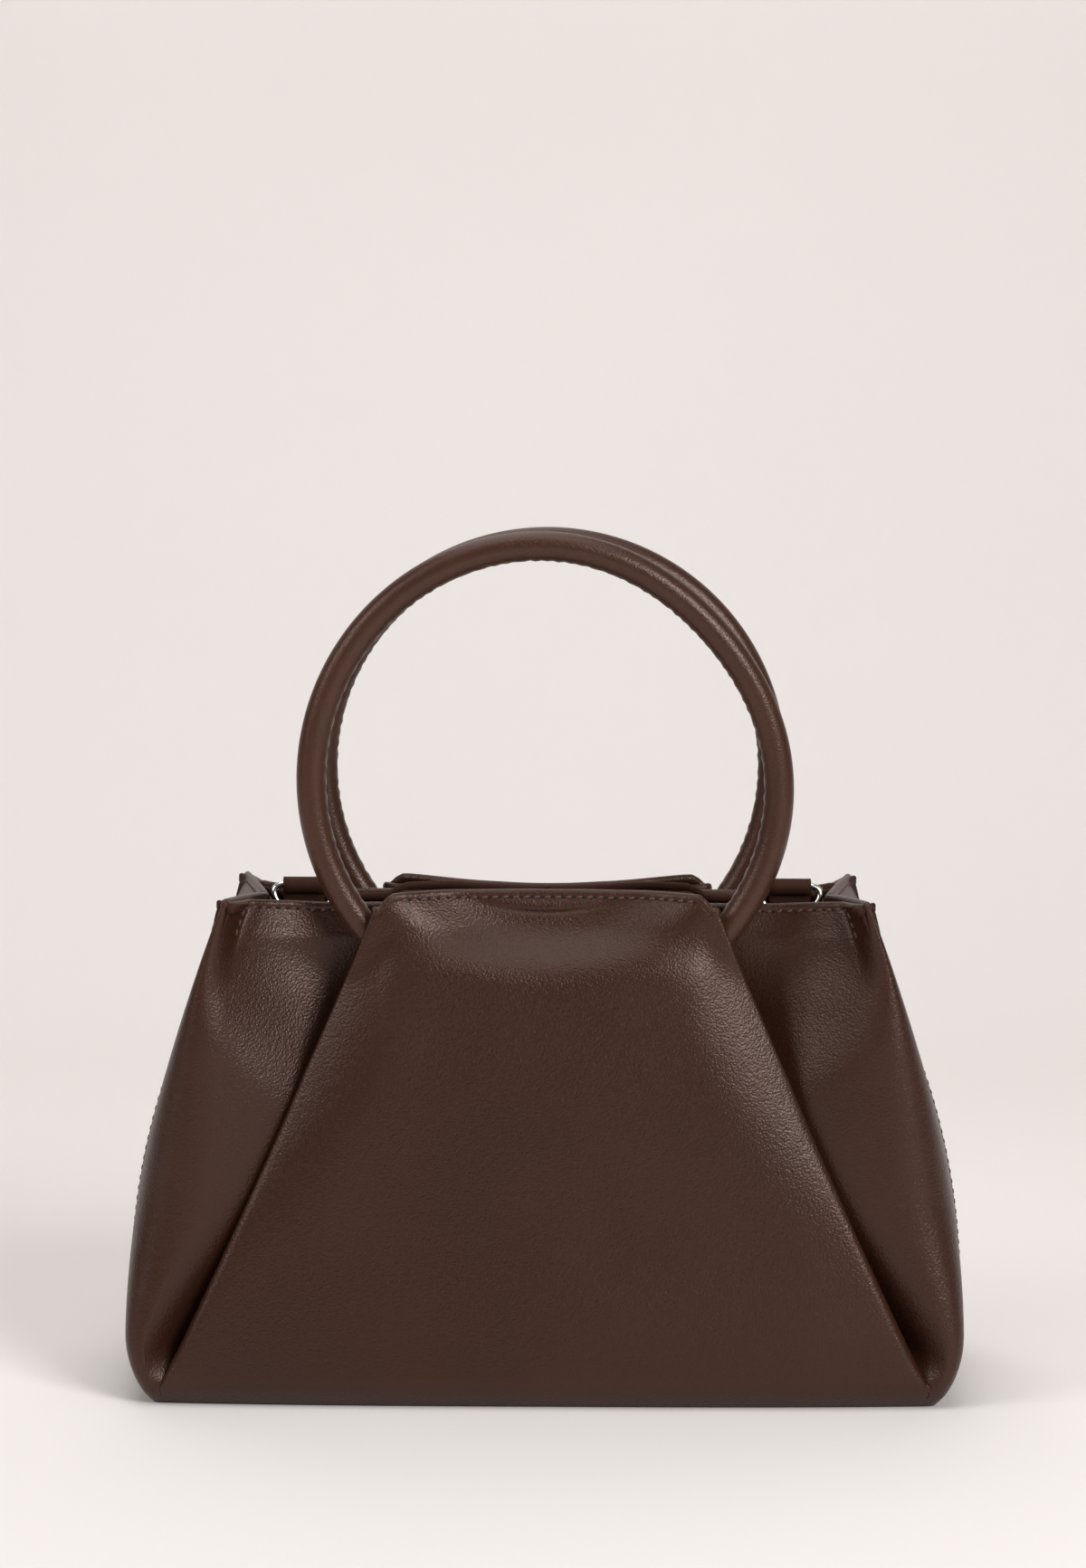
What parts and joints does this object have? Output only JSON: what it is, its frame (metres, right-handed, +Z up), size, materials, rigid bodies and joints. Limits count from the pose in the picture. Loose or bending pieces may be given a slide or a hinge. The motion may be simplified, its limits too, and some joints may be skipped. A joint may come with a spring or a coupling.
{
  "type": "ring handle handbag",
  "caption": "Small structured leather handbag whose pleated front and back wrap over side wings and hold leather covered ring handles; magnetic snap, strap D-rings.",
  "frame": {"origin": "on the floor, at the middle of the base", "axes": "+Z up, +X to the right as seen from the front, +Y from the front to the back"},
  "size_m": [0.3036, 0.118, 0.3058],
  "materials": {
    "leather": "fine grained, semi gloss, dark brown",
    "ring_leather": "fine grained, semi gloss, stretched",
    "facing": "fine grained, satin, dark brown",
    "lining": "woven, matt",
    "board": "matt, hidden",
    "ring_core": "moulded, hidden",
    "metal": "polished"
  },
  "bodies": {
    "root": {"front_panel": "leather", "back_panel": "leather", "base_panel": "leather", "base_board": "board", "base_lining": "lining", "front_facing": "facing", "back_facing": "facing", "front_lining": "lining", "back_lining": "lining", "left_tab": "facing", "right_tab": "facing", "magnet_socket": "metal", "magnet_stud": "metal", "socket_washer": "metal", "stud_washer": "metal"},
    "front_ring": {"front_ring_core": "ring_core", "front_ring_cover": "ring_leather"},
    "back_ring": {"back_ring_core": "ring_core", "back_ring_cover": "ring_leather"},
    "left_d_ring": {"left_d_ring": "metal"},
    "right_d_ring": {"right_d_ring": "metal"}
  },
  "joints": [
    {"name": "front_ring_swing", "type": "hinge", "parent": "root", "child": "front_ring", "pos_m": [0, -0.032, 0.164], "axis": [1, 0, 0], "range_deg": [-6, 12]},
    {"name": "back_ring_swing", "type": "hinge", "parent": "root", "child": "back_ring", "pos_m": [0, 0.032, 0.164], "axis": [-1, 0, 0], "range_deg": [-6, 12]},
    {"name": "left_d_ring_swing", "type": "hinge", "parent": "root", "child": "left_d_ring", "pos_m": [-0.0885, 0.01689, 0.1754], "axis": [-1, 0, 0], "range_deg": [-4, 85]},
    {"name": "right_d_ring_swing", "type": "hinge", "parent": "root", "child": "right_d_ring", "pos_m": [0.0885, 0.01689, 0.1754], "axis": [-1, 0, 0], "range_deg": [-4, 85]}
  ]
}
